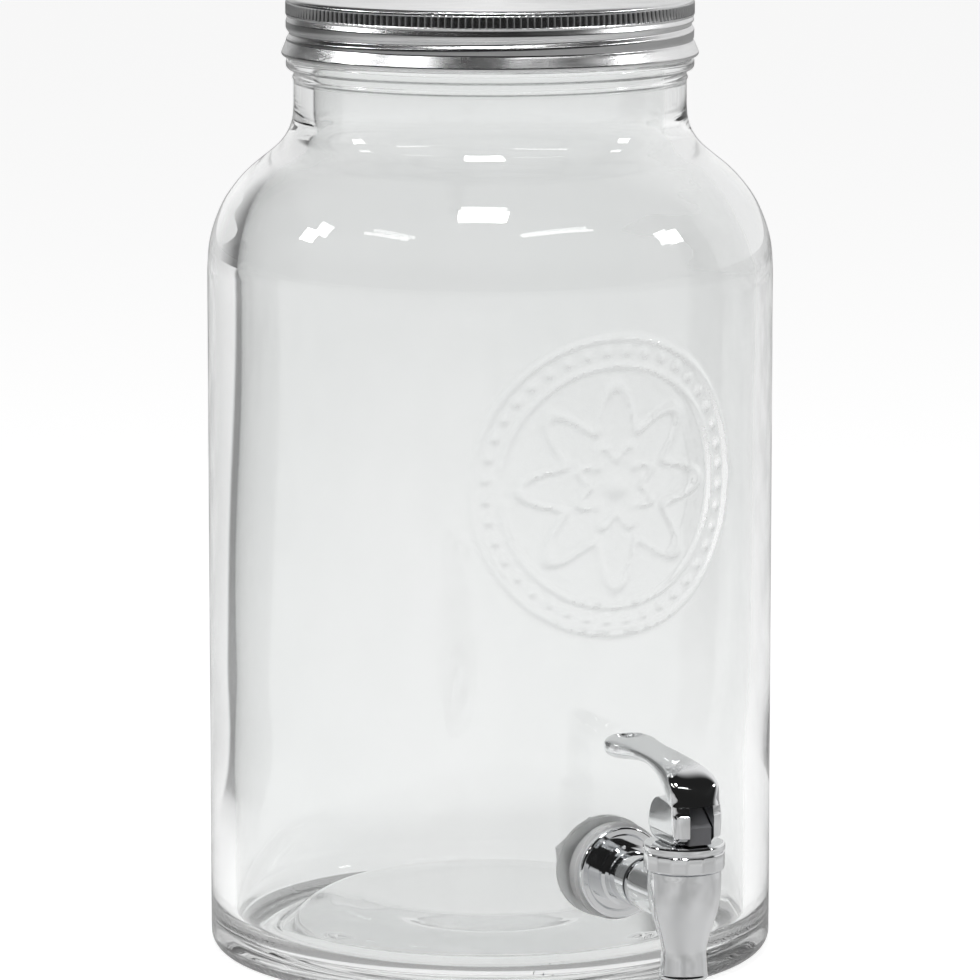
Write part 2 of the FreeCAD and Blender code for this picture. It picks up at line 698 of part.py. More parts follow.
def make_lever():
    """The lever: a forked foot with a cam corner, a curved back and an arm with a thumb paddle."""
    body = new_body("lever", y=f"-{SPOUT_REACH}", z=f"{OUTLET_LEVEL} + {PIN_LEVEL}")
    foot_top = "(foot_height - pin_height)"
    back_reach = "(bonnet_radius + arm_start)"
    back_curve = f"(({back_reach}^2 + (arm_top - back_level)^2) / (2 * {back_reach}))"
    cam_level = "(pin_height * cos(open_angle))"
    cam_reach = "(cam_offset + pin_height * sin(open_angle))"
    stop_level = f"({cam_level} - (bonnet_radius - {cam_reach}) * tan(open_angle))"
    side = new_sketch(body, "lever_side", "YZ_Plane")
    add_loop(
        side,
        ("-cam_offset", "-pin_height", "pin_height", "left"),
        ("nose_reach - nose_round", "-pin_height"),
        ("nose_reach", "nose_round - pin_height", "nose_round", "left"),
        ("nose_reach", f"{foot_top} - nose_top_round"),
        ("nose_reach - nose_top_round", foot_top, "nose_top_round", "left"),
        ("throat_back", foot_top),
        ("throat_reach", "throat_level", "throat_curve", "right"),
        ("arm_mid_reach", "arm_mid_top - arm_mid_thickness"),
        (f"{TIP_REACH} - tip_round", "tip_top - tip_thickness"),
        (f"{TIP_REACH} - tip_round / 2", "tip_top", "tip_round", "left"),
        ("arm_mid_reach", "arm_mid_top"),
        ("arm_start", "arm_top"),
        ("-bonnet_radius", "back_level", back_curve, "left"),
        ("-bonnet_radius", f"-{stop_level}"),
        (f"-{cam_reach}", f"-{cam_level}"),
    )
    pad = body.newObject("PartDesign::Pad", "lever_blank")
    pad.Profile = side
    pad.SideType = "Symmetric"
    bind(pad, Length="2 * foot_half_width")
    margin = f"({TIP_REACH} + bonnet_radius)"
    back = "sqrt(bonnet_radius^2 - foot_half_width^2)"
    plan = new_sketch(body, "lever_plan", "XY_Plane")
    add_loop(
        plan,
        (f"-{margin}", f"-{margin}"),
        (margin, f"-{margin}"),
        (margin, margin),
        (f"-{margin}", margin),
    )
    add_loop(
        plan,
        ("-foot_half_width", f"-{back}"),
        ("foot_half_width", f"-{back}", "bonnet_radius", "left"),
        ("foot_half_width", "nose_reach"),
        ("arm_half_width", "arm_mid_reach"),
        ("paddle_radius", f"{TIP_REACH} - paddle_radius"),
        ("0", TIP_REACH, "paddle_radius", "left"),
        ("-paddle_radius", f"{TIP_REACH} - paddle_radius", "paddle_radius", "left"),
        ("-arm_half_width", "arm_mid_reach"),
        ("-foot_half_width", "nose_reach"),
    )
    trim = body.newObject("PartDesign::Pocket", "lever_trim")
    trim.Profile = plan
    trim.SideType = "Symmetric"
    trim.Type = "ThroughAll"
    primitive(body, "PartDesign::SubtractiveBox", "lever_slot", Length="slot_width",
              Width="slot_front + 2 * bonnet_radius", Height="slot_roof + 2 * pin_height",
              Placement__Base__x="-slot_width / 2", Placement__Base__y="-2 * bonnet_radius",
              Placement__Base__z="-2 * pin_height")
    primitive(body, "PartDesign::SubtractiveCylinder", "lever_pin_hole", FreeCAD.Vector(0, 1, 0), 90,
              Radius="pin_radius + pin_grip_fit", Height="2 * foot_half_width",
              Placement__Base__x="pin_blind_depth - foot_half_width - pin_grip_fit")
    primitive(body, "PartDesign::SubtractiveSphere", "thumb_dimple", Radius="dimple_radius",
              Placement__Base__y=f"{TIP_REACH} - paddle_radius",
              Placement__Base__z="tip_top + dimple_radius - dimple_depth")


def check_document():
    """Stop if any object failed or any sub-part has no sound single solid."""
    for item in doc.Objects:
        if "Invalid" in item.State or "Error" in item.State:
            raise RuntimeError(f"{item.Name} failed: {item.State}")
    for item in sub_parts:
        shape = item.Shape
        if shape.isNull() or not shape.isValid():
            raise RuntimeError(f"{item.Label} has no valid shape")
        print(f"{item.Label}: {len(shape.Solids)} solid, volume {shape.Volume:.1f}")


make_glass_jar()
make_lid_shell()
make_lid_liner()
make_outer_washer()
make_inner_washer()
make_lock_nut()
make_tap_shank()
make_neck_gasket()
make_tap_body()
make_bonnet()
make_seat_cup()
make_valve_stem()
make_pivot_pin()
make_lever()
doc.recompute()
check_document()
os.makedirs("parts", exist_ok=True)
for sub_part in sub_parts:
    sub_part.Shape.exportStep(os.path.join("parts", f"{sub_part.Label}.step"))
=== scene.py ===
import math

import bmesh
import bpy
import numpy as np
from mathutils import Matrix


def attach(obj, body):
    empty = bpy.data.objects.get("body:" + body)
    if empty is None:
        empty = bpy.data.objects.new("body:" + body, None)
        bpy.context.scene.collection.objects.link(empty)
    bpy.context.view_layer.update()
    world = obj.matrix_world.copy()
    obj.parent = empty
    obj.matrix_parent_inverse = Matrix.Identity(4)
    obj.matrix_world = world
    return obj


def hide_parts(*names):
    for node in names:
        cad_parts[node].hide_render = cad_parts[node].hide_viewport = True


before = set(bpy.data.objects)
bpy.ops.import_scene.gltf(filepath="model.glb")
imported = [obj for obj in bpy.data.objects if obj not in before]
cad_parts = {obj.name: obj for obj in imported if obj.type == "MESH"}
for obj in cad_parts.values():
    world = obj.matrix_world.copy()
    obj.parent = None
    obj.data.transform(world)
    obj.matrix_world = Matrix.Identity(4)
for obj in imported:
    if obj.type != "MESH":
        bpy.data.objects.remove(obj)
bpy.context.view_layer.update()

# sizes are in millimetres where no comment says otherwise, and this turns them into metres
MM = 0.001

# the jar's radii and levels
JAR_RADIUS = 78.0
WALL_INSIDE = 71.0
HEEL = 4.8
BASE_RING = 62.0
RECESS_EDGE = 59.0
RECESS_SLOPE = 8.0
RECESS_FLAT = 46.0
RECESS_RISE = 4.0
FLOOR_FLAT = 36.0
FLOOR_LEVEL = 15.5
SHOULDER_LEVEL = 190.0
NECK_LEVEL = 239.0
NECK_RADIUS = 54.0
NECK_INSIDE = 49.4
COLLAR_RADIUS = 54.9
COLLAR_LOW = 245.4
COLLAR_TOP = 248.6
COLLAR_ROUND = 1.2
RIM_LEVEL = 263.4
RIM_ROUND = 1.5
RIM_OUTSIDE = 52.5
RIM_INSIDE = 50.9

# the neck's screw ridge, whose ends fade in and out at shares of a turn
THREAD_PITCH = 5.08
THREAD_LEVEL = 252.0
THREAD_HALF_WIDTH = 1.3
THREAD_HEIGHT = 1.2
THREAD_BEGIN = (0.0, 0.05)
THREAD_END = (1.85, 1.9)

# the medallion: place and reach, two rings, a row of beads, two rows of petals and a heart
MEDALLION_LEVEL = 140.0
MEDALLION_REACH = 42.0
RELIEF = 0.6
OUTER_RING = 39.8
INNER_RING = 32.4
RING_HALF_WIDTH = 1.3
BEADS = 40
BEAD_RING = 36.2
BEAD_RADIUS = 1.9
BEAD_HEIGHT = 0.7
PETALS = 8
OUTER_PETALS = 21.5
OUTER_PETAL_SWING = 5.5
INNER_PETALS = 9.5
INNER_PETAL_SWING = 2.2
INNER_PETAL_HALF_WIDTH = 1.6
HEART_RADIUS = 4.6
HEART_HEIGHT = 0.8

# the glass is drawn a trace small, so that it stays within the solid's box
BOX_TRIM = 0.9998

# lines of the jar's section as radius and level: the shoulder's outside, the neck's seam, the
# throat, the shoulder's inside and the rise of the floor
SHOULDER_OUTSIDE = (
    (78.0, 190.0), (77.75, 194.5), (77.3, 198.2), (76.4, 201.8), (75.1, 205.4), (73.4, 209.0),
    (71.3, 212.2), (68.6, 215.5), (65.4, 218.6), (61.9, 221.4), (58.8, 224.0), (56.8, 226.3),
    (55.3, 228.9), (54.4, 231.8), (54.05, 235.2), (54.0, 239.0))
NECK_SEAM = ((54.0, 242.4), (54.4, 243.1), (54.0, 243.8))
THROAT = ((49.4, 254.0), (48.2, 247.0), (48.2, 236.0))
SHOULDER_INSIDE = (
    (48.2, 236.0), (48.3, 231.0), (48.8, 227.0), (50.2, 223.6), (53.2, 220.2), (57.6, 216.6),
    (61.8, 212.6), (65.1, 208.3), (67.7, 203.4), (69.8, 197.3), (70.8, 192.8), (71.0, 190.0))
FLOOR_DOME = (
    (57.62, 7.04), (54.9, 9.0), (51.8, 11.4), (48.0, 13.5), (43.0, 14.9), (36.0, 15.5))

# the gutter round the floor: radius and level of its middle, and its own radius
GUTTER = (62.5, 14.0, 8.5)

# the inner wall's waves as height, waves a turn and phase a millimetre, and its shift sideways
WALL_WAVES = ((0.22, 3.0, 0.021), (0.16, 2.0, 0.055))
WALL_SHIFT = 1.27
WAVES_BELOW = (45.0, 80.0)
WAVES_ABOVE = (215.0, 180.0)

# the slit that is opened into the tap's hole: where its shift fades, in radii of the hole, how
# far its two edges start on their own sides, and a distance that counts as far from it
SLIT_FADE = (2.05, 4.2)
SLIT_EDGE = 1e-9
FAR_AWAY = 99.0

# the lid
LID_TOP = 265.4
LID_UNDER = 264.9
SKIRT_RADIUS = 55.3
SKIRT_INSIDE = 55.1
SKIRT_TOP = 263.9
SKIRT_END = 250.3
FLARE_LEVEL = 253.35
FLARE_DROP = 3.05
FLARE = 1.27
RIB_LEDGE = 0.3
RIB_LEDGE_LEVELS = (260.9, 260.4)
SKIRT_SWELL = 0.5
SKIRT_SWELL_LEVEL = 260.2
SKIRT_SWELL_DROP = 1.5
SKIRT_WAIST = 0.12
SKIRT_WAIST_LEVELS = (257.5, 254.5)
SKIRT_INSIDE_END = 250.2
ROLL_LEVEL = 250.5
ROLL_DEPTH = 0.8
ROLL_BELOW = (252.8, 253.8)
ROLL_ABOVE = (259.4, 258.4)

# rounds of the lid's section: radius and level of the middle, and the round's own radius
LID_CORNER = (54.65, 264.1, 1.3)
LID_CURL = (56.415, 249.95, 0.9)
LID_CORNER_INSIDE = (54.4, 264.2, 0.7)

# the lid's ribs: their number, one rib and hollow as places across and depths, and the band's
# section as level, radius and share of the hollow's depth
RIBS = 190
RIB_COLUMNS = ((0.0, 0.0), (0.07, 0.06), (0.19, 0.6), (0.5, 0.68), (0.81, 0.6), (0.93, 0.06))
RIB_ROWS = (
    (264.4, 55.2, 0.0), (264.3, 55.8, 0.0), (264.0, 56.1, 0.2), (263.7, 56.15, 1.2),
    (260.85, 56.15, 0.6), (260.6, 56.15, 0.0), (260.1, 55.95, 0.0), (260.0, 55.5, 0.0),
    (260.1, 55.2, 0.0), (264.3, 55.2, 0.0))

# the tap
TAP_LEVEL = 35.8
TAP_HOLE = 8.4
SPOUT_Y = -118.6
OUTLET_LEVEL = 14.6
BONNET_RADIUS = 10.8
BONNET_FLATS = 16
FLAT_CORNER = 0.9965
SPOUT_SQUARENESS = 0.2
SPOUT_NARROWING = 0.02
PIN_LEVEL = 56.3

# the lever's stations from the tip over the head to the foot, measured from the pin: reach and
# height of the upper or back line, reach and height of the under or front line, half width,
# squareness of the section. Reach is towards the jar, so the back is the side away from the jar
ARM_STATIONS = (
    (38.0, 14.8, 38.0, 14.8, 0.0, 2.2),
    (37.7, 16.4, 37.5, 13.2, 3.4, 2.3),
    (36.5, 17.5, 36.2, 12.3, 5.4, 2.5),
    (34.0, 18.0, 33.6, 11.9, 6.8, 2.6),
    (30.4, 18.0, 30.2, 11.9, 7.2, 2.7),
    (25.5, 17.7, 25.2, 12.5, 6.2, 2.8),
    (20.0, 17.3, 19.5, 13.2, 5.4, 3.0),
    (14.0, 17.0, 13.5, 13.3, 5.2, 3.0),
    (9.0, 16.6, 9.2, 12.4, 5.3, 3.2),
    (4.0, 16.1, 5.0, 10.7, 5.7, 3.4),
    (0.0, 15.3, 1.6, 9.0, 6.2, 3.8),
    (-4.0, 13.8, -0.7, 7.7, 6.7, 4.4),
    (-7.0, 11.6, -2.1, 6.9, 6.9, 5.2),
    (-8.9, 8.9, -2.5, 6.7, 6.95, 6.0),
    (-10.0, 6.3, -2.7, 6.55, 6.95, 7.0),
)
FOOT_STATIONS = (
    (-10.1, 5.9, -2.7, 6.5, 6.95, 7.5),
    (-10.12, 5.85, 6.0, 6.4, 6.95, 18.0),
    (-10.15, 5.7, 7.0, 6.1, 6.95, 18.0),
    (-10.25, 5.2, 7.7, 5.3, 6.95, 18.0),
    (-10.35, 4.5, 8.0, 4.3, 6.95, 18.0),
    (-10.45, 3.75, 8.0, 3.4, 6.95, 18.0),
    (-10.52, 3.6, 8.0, 3.2, 6.95, 18.0),
    (-10.75, 3.45, 8.0, 3.0, 6.95, 18.0),
    (-10.78, 2.5, 8.0, 2.2, 6.95, 18.0),
    (-10.78, 0.5, 8.0, 1.0, 6.95, 18.0),
    (-10.78, -2.28, 7.95, -0.8, 6.95, 18.0),
    (-9.8, -3.1, 7.6, -2.2, 6.95, 18.0),
    (-8.9, -3.85, 7.0, -3.5, 6.93, 18.0),
    (-7.6, -4.6, 6.1, -4.4, 6.85, 18.0),
    (-6.6, -4.88, 5.3, -4.8, 6.7, 18.0),
    (-6.2, -4.95, 4.6, -4.95, 6.5, 18.0),
)
FOOT_HALF_WIDTH = 6.95
FOOT_PILLOW = 1.1
PILLOW_HEIGHT = 5.0

# the stem's slot in the lever's back: half width and share of a narrow section, the reach of its
# front wall by height, its roof, and the columns of a ring that hold the outside and the slot
SLOT_HALF_WIDTH = 3.5
SLOT_SHARE = 0.55
SLOT_HEIGHTS = (-4.95, -3.5, 4.6, 6.3)
SLOT_REACHES = (3.6, 3.8, 3.8, 1.9)
ROOF_REACHES = ((-8.8,), (1.0,))
ROOF_HEIGHT = 6.2
OUTSIDE_COLUMNS = 81
SLOT_COLUMNS = 9
SLOT = slice(OUTSIDE_COLUMNS, OUTSIDE_COLUMNS + SLOT_COLUMNS)

# the thumb's dish
DISH_REACH = 32.4
DISH_NARROWING = 1.1
DISH_RADIUS = 5.3
DISH_DEPTH = 2.2
DISH_FLOOR = 15.5

# the stippled heel of the glass, whose tint also turns grey as painted shade, in metres: radius
# less a multiple of the level, first and full
HEEL_SLANT = 3.0
HEEL_FIRST = 0.066
HEEL_FULL = 0.070
# the grey that the heel's tint turns to: painted shade, not a colour of the glass
HEEL_PAINTED_SHADE = (0.2, 0.2, 0.2, 1.0)

# level directions towards the studio's bright side, and towards a dark corner of it
BRIGHT_WAY = (0.7373, 0.6756, 0.0)
DARK_WAY = (-0.574, 0.819, 0.0)
FLOOR_WHITE = 0.86
SKY_WHITE = 0.85

# changes of level on the floor and in the sky: where each begins and ends, as a distance, a share
# of a direction or a share of a pattern, and the levels at both ends
FLOOR_NEAR = (0.15, 0.4, 1.0, 0.0)
FLOOR_PATCHES = (0.35, 0.65, 0.12, 0.45)
FLOOR_CORNER_IN_METAL = (0.85, 0.95, 1.0, 0.1)
FLOOR_CORNER_IN_GLASS = (0.950, 0.968, 1.0, 0.12)
SKY_IN_METAL = (0.35, 0.75, 0.02, 1.0)
SKY_IN_GLASS = (0.4, 0.6, 0.7, 0.9)
SKY_CORNER_IN_GLASS = (0.8, 0.93, 1.0, 0.25)

# the camera: place in metres, turn to the right and tilt down in degrees, lens in millimetres
CAMERA_PLACE = (-0.7670, -1.6080, 0.40606)
CAMERA_TURN = 25.5
CAMERA_TILT = 8.87
CAMERA_LENS = 238.78
SENSOR_WIDTH = 36.0
ALL_BOUNCES = 40
GLASS_BOUNCES = 32

# the camera's right and forward directions on the floor, in which the lamps are placed
VIEW_RIGHT = np.array([0.9026, -0.4305, 0.0])
VIEW_AHEAD = np.array([0.4305, 0.9026, 0.0])
UPWARD = np.array([0.0, 0.0, 1.0])
LAMP_AIM = np.array([0.0, 0.0, 0.16])

# lamps: name, way to the right, ahead and up, distance, width and height in metres, power in
# watts, and whether metal and glass show the lamp
LAMPS = (
    ("top_lamp", -0.04, -0.43, 0.90, 1.2, 0.32, 0.21, 7.0, True),
    ("left_lamp", -0.88, -0.08, 0.47, 1.2, 0.15, 0.15, 1.4, True),
    ("right_lamp", 0.89, -0.07, 0.45, 1.2, 0.15, 0.15, 1.4, True),
    ("left_strip", -0.592, -0.516, 0.62, 1.2, 0.38, 0.05, 0.4, True),
    ("right_strip", 0.391, -0.596, 0.701, 1.2, 0.56, 0.05, 0.6, True),
    ("fill_lamp", -0.3, -0.9, 0.35, 1.6, 1.0, 0.8, 9.0, False),
)


def smooth(low, high, x):
    """The smooth step that is 0 below low and 1 above high."""
    t = np.clip((x - low) / (high - low), 0.0, 1.0)
    return t * t * (3.0 - 2.0 * t)


def line(*points):
    """Points of a section, joined by straight lines."""
    return np.array(points, dtype=float)


def arc(r, z, radius, begin, end, count=25):
    """Points on a circle about (r, z), between two angles in degrees."""
    turn = np.radians(np.linspace(begin, end, count))
    return np.column_stack((r + radius * np.cos(turn), z + radius * np.sin(turn)))


def through(points, count):
    """A smooth line through points: on each span the cubic whose end slopes are half the step
    between the neighbours on either side."""
    points = np.asarray(points, dtype=float)
    slopes = np.gradient(points, axis=0)
    place = np.linspace(0.0, len(points) - 1.0, count)
    span = np.minimum(place.astype(int), len(points) - 2)
    t = (place - span)[:, None]
    rise = t * t * (3.0 - 2.0 * t)
    ends = points[span] * (1.0 - rise) + points[span + 1] * rise
    return ends + t * (1.0 - t) * ((1.0 - t) * slopes[span] - t * slopes[span + 1])


def run_lengths(points):
    """The length of a line of points from its start to each point."""
    steps = np.hypot(*np.diff(points, axis=0).T)
    return np.concatenate(([0.0], np.cumsum(steps)))


def grid_faces(rows, columns):
    """The corner numbers of a grid's four-cornered faces, with points stored row by row."""
    number = np.arange(rows * columns).reshape(rows, columns)
    corners = (number[:-1, :-1], number[:-1, 1:], number[1:, 1:], number[1:, :-1])
    return np.stack(corners, axis=-1).reshape(-1, 4)


def rounded_square(turn, squareness):
    """Cosine and sine of an angle, each drawn to the power of two over the squareness."""
    power = 2.0 / squareness
    cosine = np.sign(np.cos(turn)) * np.abs(np.cos(turn)) ** power
    sine = np.sign(np.sin(turn)) * np.abs(np.sin(turn)) ** power
    return cosine, sine


def make_piece(name, points, faces, body, finish, nodes, sharp=38.0):
    """A mesh from points in millimetres: seams and poles merged, faces turned out, edges sharper
    than an angle kept sharp. It rides a body, takes a slot and a finish, and stands for nodes."""
    mesh = bpy.data.meshes.new(name)
    mesh.from_pydata((points.reshape(-1, 3) * MM).tolist(), [], list(faces))
    work = bmesh.new()
    work.from_mesh(mesh)
    bmesh.ops.remove_doubles(work, verts=work.verts, dist=0.002 * MM)
    bmesh.ops.recalc_face_normals(work, faces=work.faces)
    work.to_mesh(mesh)
    work.free()
    mesh.shade_smooth()
    mesh.set_sharp_from_angle(angle=math.radians(sharp))
    piece = bpy.data.objects.new(name, mesh)
    bpy.context.scene.collection.objects.link(piece)
    mesh.materials.append(finish)
    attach(piece, body)
    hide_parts(*nodes)


# finishes


def set_sockets(node, **settings):
    """Set a node's input values by name; underscores stand for spaces."""
    for socket, setting in settings.items():
        node.inputs[socket.replace("_", " ")].default_value = setting


def shader_of(finish):
    """The surface shader of a material."""
    return finish.node_tree.nodes["Principled BSDF"]


def new_finish(name, **sockets):
    """A material whose surface shader has the given sockets."""
    finish = bpy.data.materials.new(name)
    finish.use_nodes = True
    set_sockets(shader_of(finish), **sockets)
    return finish


def add_node(finish, kind, **settings):
    """A node in a material, with its own properties set."""
    node = finish.node_tree.nodes.new(kind)
    for setting, choice in settings.items():
        setattr(node, setting, choice)
    return node


def join(finish, source, target):
    """A link from an output to an input of a material's nodes."""
    finish.node_tree.links.new(source, target)


def combine(finish, operation, first, second):
    """A product, difference or greater of two outputs, or of an output and a number."""
    node = add_node(finish, "ShaderNodeMath", operation=operation)
    join(finish, first, node.inputs[0])
    if isinstance(second, float):
        node.inputs[1].default_value = second
    else:
        join(finish, second, node.inputs[1])
    return node.outputs["Value"]


def ranged(finish, source, begin, end, low, high, curve="LINEAR"):
    """A level that goes from low to high as an output goes from begin to end."""
    node = add_node(finish, "ShaderNodeMapRange", interpolation_type=curve)
    set_sockets(node, From_Min=begin, From_Max=end, To_Min=low, To_Max=high)
    join(finish, source, node.inputs["Value"])
    return node.outputs["Result"]


def grain(finish, scale, detail=3.0, stretch=(1.0, 1.0, 1.0)):
    """A noise pattern on the piece's own coordinates, drawn out along the axes."""
    place = add_node(finish, "ShaderNodeTexCoord")
    mapping = add_node(finish, "ShaderNodeMapping")
    set_sockets(mapping, Scale=stretch)
    noise = add_node(finish, "ShaderNodeTexNoise")
    set_sockets(noise, Scale=scale, Detail=detail)
    join(finish, place.outputs["Object"], mapping.inputs["Vector"])
    join(finish, mapping.outputs["Vector"], noise.inputs["Vector"])
    return noise.outputs["Fac"]


def spread(finish, source, low, high, socket, begin=0.3, end=0.7):
    """Let a pattern swing a number socket of the surface shader between two values."""
    level = ranged(finish, source, begin, end, low, high)
    join(finish, level, shader_of(finish).inputs[socket])


def tint(finish, source, first, second, begin=0.3, end=0.7):
    """Let a pattern swing the base colour between two colours; returns the ramp of colours."""
    ramp = add_node(finish, "ShaderNodeValToRGB")
    ramp.color_ramp.elements[0].position = begin
    ramp.color_ramp.elements[1].position = end
    ramp.color_ramp.elements[0].color = (*first, 1.0)
    ramp.color_ramp.elements[1].color = (*second, 1.0)
    join(finish, source, ramp.inputs["Fac"])
    join(finish, ramp.outputs["Color"], shader_of(finish).inputs["Base Color"])
    return ramp.color_ramp


def ripple(finish, source, strength, distance):
    """Let a pattern tilt the surface a little."""
    bump = add_node(finish, "ShaderNodeBump")
    set_sockets(bump, Strength=strength, Distance=distance)
    join(finish, source, bump.inputs["Height"])
    join(finish, bump.outputs["Normal"], shader_of(finish).inputs["Normal"])


def make_glass_finish():
    """Clear pressed glass: nearly colourless, with faint cloudy streaking in its tint. On the
    heel, where the radius less a multiple of the level is large, it is stippled, and its tint
    turns grey there as painted shade."""
    finish = new_finish("clear_glass", Roughness=0.0, IOR=1.5, Transmission_Weight=1.0)
    place = add_node(finish, "ShaderNodeTexCoord")
    parts = add_node(finish, "ShaderNodeSeparateXYZ")
    flat = add_node(finish, "ShaderNodeVectorMath", operation="MULTIPLY")
    flat.inputs[1].default_value = (1.0, 1.0, 0.0)
    radius = add_node(finish, "ShaderNodeVectorMath", operation="LENGTH")
    join(finish, place.outputs["Object"], parts.inputs["Vector"])
    join(finish, place.outputs["Object"], flat.inputs[0])
    join(finish, flat.outputs["Vector"], radius.inputs[0])
    rise = combine(finish, "MULTIPLY", parts.outputs["Z"], HEEL_SLANT)
    lowness = combine(finish, "SUBTRACT", radius.outputs["Value"], rise)
    # the heel's mask, which carries both the real stipple and the painted shade
    heel = ranged(finish, lowness, HEEL_FIRST, HEEL_FULL, 0.0, 1.0)
    # random streaks in the tint, less the heel's mask, which pushes the heel to the painted shade
    streaks_and_heel_shade = combine(finish, "SUBTRACT", grain(finish, 14.0, stretch=(1.0, 1.0, 0.4)), heel)
    ramp = tint(finish, streaks_and_heel_shade, (0.87, 0.88, 0.877), (0.895, 0.90, 0.898))
    # painted shade: where the heel's mask is full, the tint turns grey
    ramp.elements.new(0.0).color = HEEL_PAINTED_SHADE
    ripple(finish, combine(finish, "MULTIPLY", heel, grain(finish, 700.0, 1.0)), 0.6, 0.0006)
    return finish


def make_lid_finish():
    """Bright tinplate: brushed round the lid, so that its gloss is drawn out sideways, with a few
    duller clouds."""
    finish = new_finish("lid_tinplate", Metallic=1.0, Anisotropic=0.85)
    tint(finish, grain(finish, 30.0), (0.77, 0.775, 0.78), (0.83, 0.832, 0.835))
    spread(finish, grain(finish, 160.0, stretch=(1.0, 1.0, 6.0)), 0.19, 0.26, "Roughness")
    round_lid = add_node(finish, "ShaderNodeTangent", direction_type="RADIAL", axis="Z")
    join(finish, round_lid.outputs["Tangent"], shader_of(finish).inputs["Tangent"])
    return finish


def make_chrome_finish():
    """Polished chrome plate with faint wipe marks in its gloss."""
    finish = new_finish("tap_chrome_plate", Metallic=1.0)
    tint(finish, grain(finish, 60.0), (0.80, 0.81, 0.82), (0.85, 0.855, 0.86))
    spread(finish, grain(finish, 220.0, stretch=(1.0, 0.4, 1.0)), 0.04, 0.09, "Roughness")
    return finish


def make_pin_finish():
    """Satin steel with clouds in its gloss."""
    finish = new_finish("pin_steel", Metallic=1.0, Base_Color=(0.55, 0.56, 0.57, 1.0))
    spread(finish, grain(finish, 250.0), 0.2, 0.35, "Roughness")
    return finish


def make_soft_finish(name, first, second, rough, clear=0.0):
    """Moulded rubber, silicone or plastic: a matte skin with a fine orange-peel grain, into which
    a share of the light soaks."""
    finish = new_finish(name, IOR=1.45, Subsurface_Weight=clear,
                        Subsurface_Radius=(1.0, 1.0, 1.0), Subsurface_Scale=0.012)
    tint(finish, grain(finish, 90.0), first, second)
    spread(finish, grain(finish, 300.0), rough - 0.06, rough + 0.06, "Roughness")
    ripple(finish, grain(finish, 900.0), 0.15, 0.00005)
    return finish


GLASS = make_glass_finish()
TINPLATE = make_lid_finish()
CHROME = make_chrome_finish()
PIN_STEEL = make_pin_finish()
DARK_RUBBER = make_soft_finish(
    "dark_rubber", (0.03, 0.03, 0.032), (0.05, 0.05, 0.05), 0.55)
PALE_SILICONE = make_soft_finish(
    "pale_silicone", (0.84, 0.85, 0.85), (0.90, 0.905, 0.90), 0.4, 0.9)
WHITE_PLASTIC = make_soft_finish(
    "white_plastic", (0.86, 0.87, 0.87), (0.92, 0.925, 0.92), 0.4, 0.9)
GREY_PLASTIC = make_soft_finish(
    "grey_plastic", (0.13, 0.135, 0.14), (0.18, 0.18, 0.19), 0.42)
LINER_PASTE = make_soft_finish(
    "liner_paste", (0.74, 0.73, 0.69), (0.80, 0.79, 0.75), 0.55)

# finishes of the solids that are shown as they are
NODE_FINISHES = (
    ("lid_liner", LINER_PASTE),
    ("tap_shank", CHROME),
    ("neck_gasket", DARK_RUBBER),
    ("outer_washer", PALE_SILICONE),
    ("inner_washer", PALE_SILICONE),
    ("seat_cup", PALE_SILICONE),
    ("lock_nut", WHITE_PLASTIC),
    ("valve_stem", GREY_PLASTIC),
    ("pivot_pin", PIN_STEEL),
)


# the glass jar


def open_slit(along, across, radius):
    """Open a slit of four radii along a line into a round hole. With w = along + i across, the new
    place is half of w plus the root of w squared less four radii squared; the shift fades out from
    about two to four radii."""
    w = along + 1j * across
    root = np.sqrt(w * w - 4.0 * radius ** 2)
    root = np.where((root * np.conj(w)).real < 0.0, -root, root)
    fade = 1.0 - smooth(SLIT_FADE[0] * radius, SLIT_FADE[1] * radius, np.abs(w))
    moved = w + ((w + root) / 2.0 - w) * fade
    return moved.real, moved.imag


def ridge(distance, width, height):
    """A rounded ridge: height times the square of one less the squared share of its half width."""
    share = np.clip(np.abs(distance) / width, 0.0, 1.0)
    return height * (1.0 - share ** 2) ** 2


def medallion(across, up):
    """Height of the raised ornament at a place on the unrolled wall: two rings with a row of beads
    between them, and a rosette of petals whose outline's radius swings with the cosine of the
    number of petals times the angle. Outer petals widen with the distance from the middle."""
    reach = np.hypot(across, up)
    turn = np.arctan2(up, across)
    bead_turn = (turn * BEADS / (2.0 * np.pi)) % 1.0 - 0.5
    bead_gap = np.hypot(reach - BEAD_RING, bead_turn * 2.0 * np.pi * BEAD_RING / BEADS)
    outer_swing = OUTER_PETAL_SWING * np.cos(PETALS * turn)
    inner_swing = INNER_PETAL_SWING * np.cos(PETALS * turn + np.pi)
    return np.maximum.reduce((
        ridge(reach - OUTER_RING, RING_HALF_WIDTH, RELIEF),
        ridge(reach - INNER_RING, RING_HALF_WIDTH, RELIEF),
        ridge(bead_gap, BEAD_RADIUS, BEAD_HEIGHT),
        ridge(reach - OUTER_PETALS - outer_swing, 1.5 + 0.05 * reach, RELIEF),
        ridge(reach - INNER_PETALS - inner_swing, INNER_PETAL_HALF_WIDTH, RELIEF),
        ridge(reach, HEART_RADIUS, HEART_HEIGHT),
    ))


def jar_thread(turn, level):
    """Height of the neck's screw ridge, which climbs one pitch a turn for 1.9 turns from +X."""
    start = (np.degrees(turn) - 90.0) % 360.0
    height = np.zeros_like(level + turn)
    for lap in (0.0, 360.0):
        climb = (start + lap) / 360.0
        ends = smooth(*THREAD_BEGIN, climb) * (1.0 - smooth(*THREAD_END, climb))
        above = level - THREAD_LEVEL - THREAD_PITCH * climb
        height = np.maximum(height, ends * ridge(above, THREAD_HALF_WIDTH, THREAD_HEIGHT))
    return height


